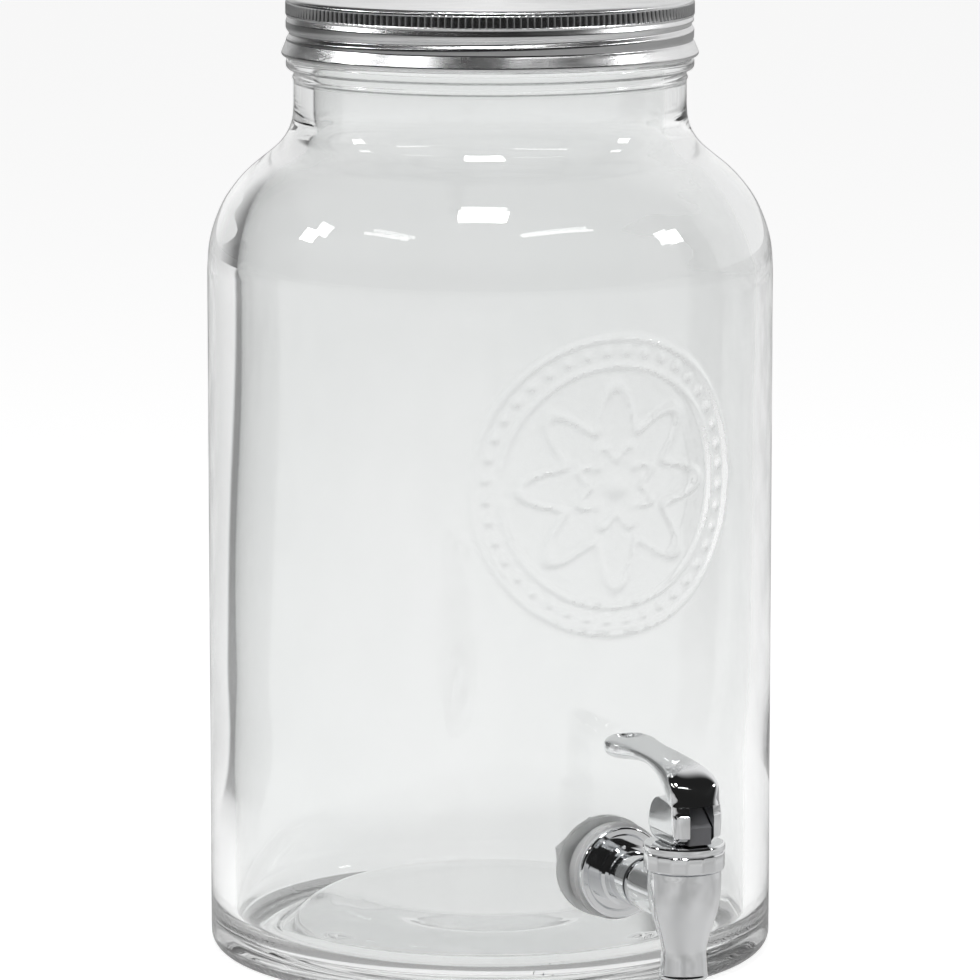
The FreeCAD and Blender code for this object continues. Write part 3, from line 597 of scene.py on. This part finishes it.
def jar_outline():
    """The jar's section from the middle of the underside, up the outside, over the rim and down
    the inside to the middle of the floor, as runs of points with the spacing of the grid's rows on
    each run. Rows beside the tap's hole lie as the cosine of even angles."""
    slit = 2.0 * TAP_HOLE * (1.0 - np.cos(np.linspace(0.0, np.pi, 41)))
    slit_low = TAP_LEVEL - 2.0 * TAP_HOLE
    slit_top = TAP_LEVEL + 2.0 * TAP_HOLE
    relief_low = MEDALLION_LEVEL - MEDALLION_REACH
    relief_top = MEDALLION_LEVEL + MEDALLION_REACH
    rim_low = RIM_LEVEL - RIM_ROUND
    foot = np.linspace(RECESS_FLAT, BASE_RING, 33)
    foot_level = RECESS_RISE * np.clip((RECESS_EDGE - foot) / RECESS_SLOPE, 0.0, 1.0)
    corner = np.vstack((
        [[WALL_INSIDE, slit_top]],
        arc(*GUTTER, 0.0, -125.0, 40),
        through(FLOOR_DOME, 40)[1:],
    ))
    corner_length = run_lengths(corner)[-1]
    corner_rows = np.concatenate((slit, np.linspace(slit[-1], corner_length, 34)[1:]))
    return (
        (line((0.0, RECESS_RISE), (RECESS_FLAT, RECESS_RISE)), 8.0),
        (np.column_stack((foot, foot_level)), 0.8),
        (line((BASE_RING, 0.0), (JAR_RADIUS - HEEL, 0.0)), 2.5),
        (arc(JAR_RADIUS - HEEL, HEEL, HEEL, -90.0, 0.0), 0.8),
        (line((JAR_RADIUS, HEEL), (JAR_RADIUS, slit_low)), 2.6),
        (line((JAR_RADIUS, slit_low), (JAR_RADIUS, slit_top)), slit),
        (line((JAR_RADIUS, slit_top), (JAR_RADIUS, relief_low)), 3.0),
        (line((JAR_RADIUS, relief_low), (JAR_RADIUS, relief_top)), 0.85),
        (line((JAR_RADIUS, relief_top), (JAR_RADIUS, SHOULDER_LEVEL)), 2.6),
        (through(SHOULDER_OUTSIDE, 120), 1.25),
        (line((NECK_RADIUS, NECK_LEVEL), NECK_SEAM[0]), 1.7),
        (line(*NECK_SEAM), 0.35),
        (line(NECK_SEAM[-1], (NECK_RADIUS, COLLAR_LOW)), 0.8),
        (line((NECK_RADIUS, COLLAR_LOW), (COLLAR_RADIUS, COLLAR_LOW)), 0.9),
        (arc(COLLAR_RADIUS, COLLAR_LOW + COLLAR_ROUND, COLLAR_ROUND, -90.0, 0.0, 12), 0.3),
        (arc(COLLAR_RADIUS, COLLAR_TOP - COLLAR_ROUND, COLLAR_ROUND, 0.0, 90.0, 12), 0.3),
        (line((COLLAR_RADIUS, COLLAR_TOP), (NECK_RADIUS, COLLAR_TOP + 0.1)), 0.9),
        (line((NECK_RADIUS, COLLAR_TOP + 0.1), (NECK_RADIUS, rim_low)), 0.45),
        (arc(RIM_OUTSIDE, rim_low, RIM_ROUND, 0.0, 90.0, 12), 0.4),
        (line((RIM_OUTSIDE, RIM_LEVEL), (RIM_INSIDE, RIM_LEVEL)), 0.8),
        (arc(RIM_INSIDE, rim_low, RIM_ROUND, 90.0, 180.0, 12), 0.4),
        (line((NECK_INSIDE, rim_low), *THROAT), 3.0),
        (through(SHOULDER_INSIDE, 120), 1.5),
        (line((WALL_INSIDE, SHOULDER_LEVEL), (WALL_INSIDE, slit_top)), 4.0),
        (corner, corner_rows),
        (line((FLOOR_FLAT, FLOOR_LEVEL), (0.0, FLOOR_LEVEL)), 6.0),
    )


def row_places(runs, along):
    """Places of the grid's rows along the whole section, from the spacing on each of its runs."""
    rows = []
    start = 0
    for points, spacing in runs:
        length = run_lengths(points)[-1]
        if np.isscalar(spacing):
            steps = max(int(math.ceil(length / spacing)), 1)
            spacing = np.linspace(0.0, length, steps + 1)
        rows.append(along[start] + spacing)
        start += len(points)
    return np.unique(np.round(np.concatenate(rows), 6))


def column_turns():
    """Angles of the grid's columns about Z from the tap: close together at the medallion."""
    near = np.arange(0.0, MEDALLION_REACH, 0.8) / JAR_RADIUS
    far = np.linspace(near[-1], 2.0 * np.pi - near[-1], 102)[1:-1]
    return np.concatenate((near, far, 2.0 * np.pi - near[::-1]))


def make_jar():
    """The whole glass wall as one closed skin: the section turned about Z with its seam at the
    tap. The seam stays open beside the tap, where it is spread into the round hole, and a tube
    joins the two rims. Medallion and thread are added to the radius outside. Inside, the sum of a
    few sines is added to the radius, and the wall is shifted sideways."""
    runs = jar_outline()
    outline = np.vstack([points for points, _ in runs])
    along = run_lengths(outline)
    rows = row_places(runs, along)
    turn = column_turns()
    outside = rows < along[np.argmax(outline[:, 1])]
    tap_out = along[np.flatnonzero(outline[:, 0] == JAR_RADIUS)[0]] + TAP_LEVEL - HEEL
    at_shoulder = (outline[:, 0] == WALL_INSIDE) & (outline[:, 1] == SHOULDER_LEVEL)
    tap_in = along[np.flatnonzero(at_shoulder)[-1]] + SHOULDER_LEVEL - TAP_LEVEL
    upward = np.where(outside, rows - tap_out, tap_in - rows)[:, None]
    outside = outside[:, None]

    side = np.where(turn < np.pi, SLIT_EDGE, -SLIT_EDGE)
    across = np.where(outside, JAR_RADIUS, WALL_INSIDE) * np.sin(turn) + side
    new_up, new_across = open_slit(upward, across, TAP_HOLE)
    facing = (np.cos(turn) > 0.7) & (np.hypot(upward, across) < SLIT_FADE[1] * TAP_HOLE)
    beside_tap = np.where(outside, tap_out + new_up, tap_in - new_up)
    place = np.where(facing, beside_tap, rows[:, None])
    r = np.interp(place, along, outline[:, 0])
    z = np.interp(place, along, outline[:, 1])
    swung = np.arcsin(np.clip(new_across / np.maximum(r, 1.0), -1.0, 1.0))
    bearing = np.where(facing, swung, turn)

    wall_arc = JAR_RADIUS * np.where(bearing > np.pi, bearing - 2.0 * np.pi, bearing)
    relief = medallion(wall_arc, z - MEDALLION_LEVEL)
    r = r + np.where(outside & (z < SHOULDER_LEVEL), relief, 0.0)
    thread = jar_thread(bearing, z) * smooth(RIM_LEVEL - 1.5, RIM_LEVEL - 2.5, z)
    r = r + np.where(outside & (z > COLLAR_TOP), thread, 0.0)
    hole_gap = np.hypot(new_up, np.where(facing, new_across, FAR_AWAY))
    waved = ~outside * smooth(*WAVES_BELOW, z) * smooth(*WAVES_ABOVE, z)
    waved = waved * smooth(1.2 * TAP_HOLE, 4.0 * TAP_HOLE, hole_gap)
    wave = sum(high * np.sin(count * bearing + rate * z) for high, count, rate in WALL_WAVES)
    r = (r + waved * wave) * BOX_TRIM
    x = r * np.sin(bearing) + WALL_SHIFT * waved
    points = np.stack((x, -r * np.cos(bearing), z), axis=-1)

    number = np.arange(z.size).reshape(z.shape)
    slit = np.abs(upward) < 2.0 * TAP_HOLE + 1e-4
    first = number[(slit & outside)[:, 0]]
    last = number[(slit & ~outside)[:, 0]][::-1]
    tube = [np.column_stack((first[:-1, k], first[1:, k], last[1:, k], last[:-1, k]))
            for k in (0, -1)]
    faces = np.vstack((grid_faces(*z.shape), *tube))
    make_piece("glass_wall", points, faces, "jar", GLASS, ("glass_jar",))


# the screw lid


def lid_outline():
    """The lid's section from the middle of its top, down its skirt, round the rolled edge and back
    up inside. The skirt runs straight behind the ribs, swells under them, draws in a little and
    flares in a straight line into the rolled edge."""
    level = np.linspace(SKIRT_TOP, SKIRT_END, 80)
    swell = np.clip((SKIRT_SWELL_LEVEL - level) / SKIRT_SWELL_DROP, 0.0, 1.0)
    flare = np.clip((FLARE_LEVEL - level) / FLARE_DROP, 0.0, 1.0)
    skirt = SKIRT_RADIUS + RIB_LEDGE * smooth(*RIB_LEDGE_LEVELS, level) + SKIRT_SWELL * swell
    skirt = skirt - SKIRT_WAIST * smooth(*SKIRT_WAIST_LEVELS, level) + FLARE * flare
    inside = np.linspace(SKIRT_INSIDE_END, LID_CORNER_INSIDE[1], 30)
    return np.vstack((
        line((0.0, LID_TOP), (20.0, LID_TOP), (40.0, LID_TOP), (52.0, LID_TOP), (54.2, LID_TOP)),
        arc(*LID_CORNER, 90.0, 0.0, 12),
        np.column_stack((skirt, level)),
        arc(*LID_CURL, 22.6, -180.0, 20),
        np.column_stack((np.full(inside.size, SKIRT_INSIDE), inside)),
        arc(*LID_CORNER_INSIDE, 0.0, 90.0, 6),
        line((40.0, LID_UNDER), (20.0, LID_UNDER), (0.0, LID_UNDER)),
    ))


def lid_roll(turn, level):
    """How far the rolled thread sinks into the skirt: a narrow groove that climbs one pitch a
    turn, the cube of one plus a cosine over two."""
    climb = ((np.degrees(turn) - 90.0) % 360.0) / 360.0 - 0.5
    phase = (level - ROLL_LEVEL - THREAD_PITCH * climb) / THREAD_PITCH
    groove = ((1.0 + np.cos(2.0 * np.pi * phase)) / 2.0) ** 3
    return ROLL_DEPTH * groove * smooth(*ROLL_BELOW, level) * smooth(*ROLL_ABOVE, level)


def make_lid():
    """The pressed lid as one closed skin of the section turned about Z, with the rolled thread in
    its skirt."""
    outline = lid_outline()
    turn = np.linspace(0.0, 2.0 * np.pi, 361)
    r = np.repeat(outline[:, :1], turn.size, axis=1)
    z = np.repeat(outline[:, 1:], turn.size, axis=1)
    skirt = r > (SKIRT_INSIDE + SKIRT_RADIUS) / 2.0
    r = r - skirt * lid_roll(turn, z)
    points = np.stack((r * np.sin(turn), -r * np.cos(turn), z), axis=-1)
    make_piece("lid_skin", points, grid_faces(*r.shape), "lid", TINPLATE,
               ("lid_shell",))


def make_lid_ribs():
    """The ribbed band round the lid's upper edge: a ring whose outside sinks between narrow
    upright ribs, with each hollow closed at its top and bottom. Depth is a step up and down across
    each hollow."""
    across, hollow = np.array(RIB_COLUMNS).T
    turn = np.append((np.arange(RIBS)[:, None] + across).ravel(), RIBS) * 2.0 * np.pi / RIBS
    hollow = np.append(np.tile(hollow, RIBS), 0.0)
    level, rim, share = np.array(RIB_ROWS + RIB_ROWS[:1]).T[:, :, None]
    r = rim - share * hollow
    z = np.repeat(level, turn.size, axis=1)
    points = np.stack((r * np.sin(turn), -r * np.cos(turn), z), axis=-1)
    make_piece("lid_ribs", points, grid_faces(*z.shape), "lid", TINPLATE,
               ("lid_shell",), 25.0)


# the tap


def lever_section(stations, slotted):
    """Rings of points across the lever, one for each station. A ring is a rounded square, cut at
    the edges of the slot: first the outside from the slot's right edge round the front to its left
    edge, then the slot's own wall. Above the slot that wall lies in the back. The foot's back is
    rounded to the bonnet's circle, and its cheeks draw in with the square of the height. Returns
    across, reach and height."""
    half_width = np.maximum(stations[:, 4:5], 0.0)
    squareness = stations[:, 5:6]
    slot = np.minimum(SLOT_HALF_WIDTH, SLOT_SHARE * half_width)
    share = np.divide(slot, half_width, out=np.full_like(slot, SLOT_SHARE),
                      where=half_width > 0.0)
    edge = np.arccos(share ** (squareness / 2.0))
    turn = edge + np.linspace(0.0, 1.0, OUTSIDE_COLUMNS) * (-np.pi - 2.0 * edge)
    cosine, sine = rounded_square(turn, squareness)
    wall = np.linspace(-1.0, 1.0, SLOT_COLUMNS) * share
    wall_sine = (1.0 - np.abs(wall) ** squareness) ** (1.0 / squareness)
    cosine = np.hstack((cosine, wall, cosine[:, :1]))
    sine = np.hstack((sine, wall_sine, sine[:, :1]))
    middle = (stations[:, 0:2] + stations[:, 2:4]) / 2.0
    half = (stations[:, 0:2] - stations[:, 2:4]) / 2.0
    x = half_width * cosine
    reach = middle[:, 0:1] + half[:, 0:1] * sine
    height = middle[:, 1:2] + half[:, 1:2] * sine
    fall = BONNET_RADIUS - np.sqrt(BONNET_RADIUS ** 2 - x ** 2)
    reach = reach + fall * smooth(13.0, 6.0, stations[:, 1:2]) * smooth(-0.2, 0.9, sine)
    if slotted:
        reach[:, SLOT] = np.interp(height[:, SLOT], SLOT_HEIGHTS, SLOT_REACHES)
    in_front = np.where(height > 0.0, smooth(-3.0, 1.0, reach), 1.0)
    pillow = FOOT_PILLOW * (height / PILLOW_HEIGHT) ** 2 * in_front * smooth(7.6, 6.5, height)
    cheek = np.abs(x) > SLOT_HALF_WIDTH + 0.1
    return x * (1.0 - pillow / FOOT_HALF_WIDTH * cheek), reach, height


def make_lever():
    """The lever as one closed skin: rounded square sections from the thumb paddle's tip along the
    arm, over the head and down the forked foot, with a round dish for the thumb and the stem's
    slot in the back, whose flat roof leaves room for the stem when the lever is pulled."""
    arm = lever_section(through(ARM_STATIONS, 110), False)
    foot = lever_section(np.array(FOOT_STATIONS), False)
    fork = lever_section(np.array(FOOT_STATIONS), True)
    roof = [np.repeat(ring[:1], 2, axis=0) for ring in foot]
    roof[1][:, SLOT] = ROOF_REACHES
    roof[2][:, SLOT] = ROOF_HEIGHT
    x, reach, height = (
        np.vstack((a, f[:1], r, k)) for a, f, r, k in zip(arm, foot, roof, fork))
    away = np.hypot(reach - DISH_REACH, DISH_NARROWING * x)
    ball = np.sqrt(np.maximum(DISH_RADIUS ** 2 - away ** 2, 0.0))
    dish = np.maximum(DISH_DEPTH - DISH_RADIUS + ball, 0.0)
    height = height - dish * (height > DISH_FLOOR)
    points = np.stack((x, reach + SPOUT_Y, height + PIN_LEVEL), axis=-1)
    faces = grid_faces(*x.shape).tolist()
    faces.append(np.arange(x.size - x.shape[1], x.size - 1).tolist())
    make_piece("lever_form", points, faces, "lever", CHROME, ("lever",))


def spout_outline():
    """Radius and height of the tap body's outside above the outlet, from the outlet bore's mouth
    up to the bonnet, and inwards under it."""
    outside = through((
        (6.3, 0.25), (6.4, 0.8), (6.28, 1.5), (6.15, 3.2), (5.95, 6.5), (6.05, 8.6), (6.75, 11.6),
        (7.7, 14.6), (8.7, 17.6), (9.35, 20.6), (9.65, 23.6), (9.75, 26.6), (9.75, 29.1)), 80)
    mouth = line((4.4, 12.0), (4.4, 0.6), (4.7, 0.0), (6.0, 0.0))
    seam = line((9.5, 29.3), (8.0, 29.45), (5.0, 29.45))
    return np.vstack((mouth, outside, seam))


def make_spout():
    """The tap body: the outline carried round a slightly squared circle, which becomes a true
    circle towards both ends."""
    outline = spout_outline()
    turn = np.linspace(0.0, 2.0 * np.pi, 97)
    square = smooth(4.6, 5.6, outline[:, 0]) * smooth(29.4, 27.0, outline[:, 1])
    cosine, sine = rounded_square(turn, (2.0 + SPOUT_SQUARENESS * square)[:, None])
    r = outline[:, :1] * (1.0 - SPOUT_NARROWING * square[:, None])
    z = np.repeat(outline[:, 1:], turn.size, axis=1) + OUTLET_LEVEL
    points = np.stack((r * cosine, r * sine + SPOUT_Y, z), axis=-1)
    make_piece("spout", points, grid_faces(*z.shape), "jar", CHROME,
               ("tap_body",))


def make_side_tube():
    """The tap body's side tube: an outline of radius and distance from the jar's axis turned about
    the tap's axis."""
    outline = line((5.4, 104.6), (5.4, 97.7), (6.8, 97.6), (7.1, 97.75), (7.2, 98.1),
                   (7.2, 103.0), (7.2, 108.0), (7.2, 112.0))
    turn = np.linspace(0.0, 2.0 * np.pi, 73)
    r = outline[:, :1]
    y = np.repeat(-outline[:, 1:], turn.size, axis=1)
    points = np.stack((r * np.cos(turn), y, r * np.sin(turn) + TAP_LEVEL), axis=-1)
    make_piece("side_tube", points, grid_faces(*y.shape), "jar", CHROME,
               ("tap_body",))


def make_bonnet():
    """The cap over the valve: an outline turned about the spout's axis, with a band of flats whose
    radius is the flat's distance over the cosine of the turn from its middle, cut off at the
    corners, a groove over the flats, a rounded rim and a hole for the stem."""
    outline = np.vstack((
        line((8.0, 29.55), (10.0, 29.55), (10.45, 29.6), (10.68, 29.8), (10.75, 30.1)),
        line((10.75, 31.8), (10.75, 33.6), (10.7, 33.95), (10.45, 34.2), (10.1, 34.25)),
        line((10.1, 34.7), (10.4, 34.75)),
        arc(10.05, 35.15, 0.75, -25.0, 0.0, 4),
        arc(10.0, 35.9, 0.8, 0.0, 90.0, 12),
        line((9.2, 36.7), (6.0, 36.7), (3.4, 36.7), (3.3, 36.6), (3.3, 33.5)),
    ))
    turn = np.linspace(0.0, 2.0 * np.pi, BONNET_FLATS * 12 + 1)
    level = outline[:, 1:]
    flat_turn = 2.0 * np.pi / BONNET_FLATS
    from_middle = ((turn / flat_turn) % 1.0 - 0.5) * flat_turn
    flat = np.minimum(math.cos(flat_turn / 2.0) / np.cos(from_middle), FLAT_CORNER)
    banded = smooth(34.3, 34.15, level) * smooth(9.9, 10.3, outline[:, :1])
    r = outline[:, :1] * (1.0 + (flat - 1.0) * banded)
    z = np.repeat(level, turn.size, axis=1) + OUTLET_LEVEL
    points = np.stack((r * np.cos(turn), r * np.sin(turn) + SPOUT_Y, z), axis=-1)
    make_piece("bonnet_cap", points, grid_faces(*z.shape), "jar", CHROME,
               ("bonnet",), 8.0)


def dress_node(node, finish):
    """Give a carried-over solid its finish."""
    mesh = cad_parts[node].data
    mesh.materials.clear()
    mesh.materials.append(finish)


# stage, light and camera


def lean(finish, vector, way, begin, end, low, high):
    """A level that goes smoothly from low to high as a direction's share along a way goes from
    begin to end."""
    along = add_node(finish, "ShaderNodeVectorMath", operation="DOT_PRODUCT")
    along.inputs[1].default_value = way
    join(finish, vector, along.inputs[0])
    return ranged(finish, along.outputs["Value"], begin, end, low, high, "SMOOTHSTEP")


def floor_level(finish):
    """How strongly the floor shows itself: white to the camera, white through the glass and patchy
    in the metal, and dark in both towards the dark corner, but not close to the jar."""
    place = add_node(finish, "ShaderNodeTexCoord")
    bearing = add_node(finish, "ShaderNodeVectorMath", operation="NORMALIZE")
    distance = add_node(finish, "ShaderNodeVectorMath", operation="LENGTH")
    join(finish, place.outputs["Object"], bearing.inputs[0])
    join(finish, place.outputs["Object"], distance.inputs[0])
    way = bearing.outputs["Vector"]
    near = ranged(finish, distance.outputs["Value"], *FLOOR_NEAR, "SMOOTHSTEP")
    glass_corner = lean(finish, way, DARK_WAY, *FLOOR_CORNER_IN_GLASS)
    glass_corner = combine(finish, "MAXIMUM", glass_corner, near)
    metal_corner = lean(finish, way, DARK_WAY, *FLOOR_CORNER_IN_METAL)
    metal_corner = combine(finish, "MAXIMUM", metal_corner, near)
    patches = ranged(finish, grain(finish, 5.0, 2.0), *FLOOR_PATCHES)
    patches = combine(finish, "MULTIPLY", patches, metal_corner)
    path = add_node(finish, "ShaderNodeLightPath")
    in_glass = combine(finish, "MULTIPLY", path.outputs["Is Transmission Ray"], glass_corner)
    in_metal = combine(finish, "MULTIPLY", path.outputs["Is Glossy Ray"], patches)
    seen = combine(finish, "MAXIMUM", path.outputs["Is Camera Ray"], in_glass)
    return combine(finish, "MULTIPLY", combine(finish, "MAXIMUM", seen, in_metal), FLOOR_WHITE)


def make_floor():
    """A wide pale floor that keeps the object's shadow."""
    half, below = 30.0, -0.0001
    corners = [(-half, -half, below), (half, -half, below), (half, half, below),
               (-half, half, below)]
    mesh = bpy.data.meshes.new("floor")
    mesh.from_pydata(corners, [], [(0, 1, 2, 3)])
    floor = bpy.data.objects.new("floor", mesh)
    bpy.context.scene.collection.objects.link(floor)
    finish = new_finish("pale_floor", Base_Color=(0.4, 0.4, 0.4, 1.0), Roughness=1.0,
                        Specular_IOR_Level=0.0, Emission_Color=(1.0, 1.0, 1.0, 1.0))
    join(finish, floor_level(finish), shader_of(finish).inputs["Emission Strength"])
    mesh.materials.append(finish)


def make_sky():
    """A studio round the object, bright behind it and to its right and dark elsewhere. Seen
    straight it is the white of the background, and seen through the glass it is greyer in front
    and dark towards the dark corner."""
    world = bpy.data.worlds.new("studio")
    bpy.context.scene.world = world
    world.use_nodes = True
    background = world.node_tree.nodes["Background"]
    path = add_node(world, "ShaderNodeLightPath")
    way = add_node(world, "ShaderNodeTexCoord").outputs["Generated"]
    plain = lean(world, way, BRIGHT_WAY, *SKY_IN_METAL)
    bright = lean(world, way, BRIGHT_WAY, *SKY_IN_GLASS)
    corner = lean(world, way, DARK_WAY, *SKY_CORNER_IN_GLASS)
    through_glass = combine(world, "MULTIPLY", bright, corner)
    in_glass = combine(world, "MULTIPLY", path.outputs["Is Transmission Ray"], through_glass)
    seen = combine(world, "MAXIMUM", path.outputs["Is Camera Ray"], in_glass)
    level = combine(world, "MAXIMUM", combine(world, "MULTIPLY", plain, SKY_WHITE), seen)
    set_sockets(background, Color=(1.0, 1.0, 1.0, 1.0))
    join(world, level, background.inputs["Strength"])


def add_lamp(name, right, ahead, up, distance, width, height, power, mirrored):
    """A soft rectangular lamp that faces the jar's middle, placed by its way in the camera's
    directions. One that is not mirrored stays out of metal and glass."""
    way = right * VIEW_RIGHT + ahead * VIEW_AHEAD + up * UPWARD
    length = np.linalg.norm(way)
    lamp = bpy.data.lights.new(name, "AREA")
    lamp.shape = "RECTANGLE"
    lamp.size = width
    lamp.size_y = height
    lamp.energy = power
    holder = bpy.data.objects.new(name, lamp)
    holder.visible_glossy = mirrored
    holder.visible_transmission = mirrored
    holder.location = LAMP_AIM + distance * way / length
    holder.rotation_euler = (math.acos(up / length), 0.0, math.atan2(way[0], -way[1]))
    bpy.context.scene.collection.objects.link(holder)


def make_camera():
    """A long lens a little above the jar, which looks past the tap from its left."""
    lens = bpy.data.cameras.new("view")
    lens.lens = CAMERA_LENS
    lens.sensor_width = SENSOR_WIDTH
    camera = bpy.data.objects.new("view", lens)
    camera.location = CAMERA_PLACE
    camera.rotation_euler = (math.radians(90.0 - CAMERA_TILT), 0.0, math.radians(-CAMERA_TURN))
    bpy.context.scene.collection.objects.link(camera)
    bpy.context.scene.camera = camera


make_jar()
make_lid()
make_lid_ribs()
make_lever()
make_spout()
make_side_tube()
make_bonnet()
for bare_node, node_finish in NODE_FINISHES:
    dress_node(bare_node, node_finish)
make_floor()
make_sky()
for lamp_sizes in LAMPS:
    add_lamp(*lamp_sizes)
make_camera()
bpy.context.scene.view_settings.view_transform = "Standard"
bpy.context.scene.cycles.max_bounces = ALL_BOUNCES
bpy.context.scene.cycles.glossy_bounces = GLASS_BOUNCES
bpy.context.scene.cycles.transmission_bounces = GLASS_BOUNCES
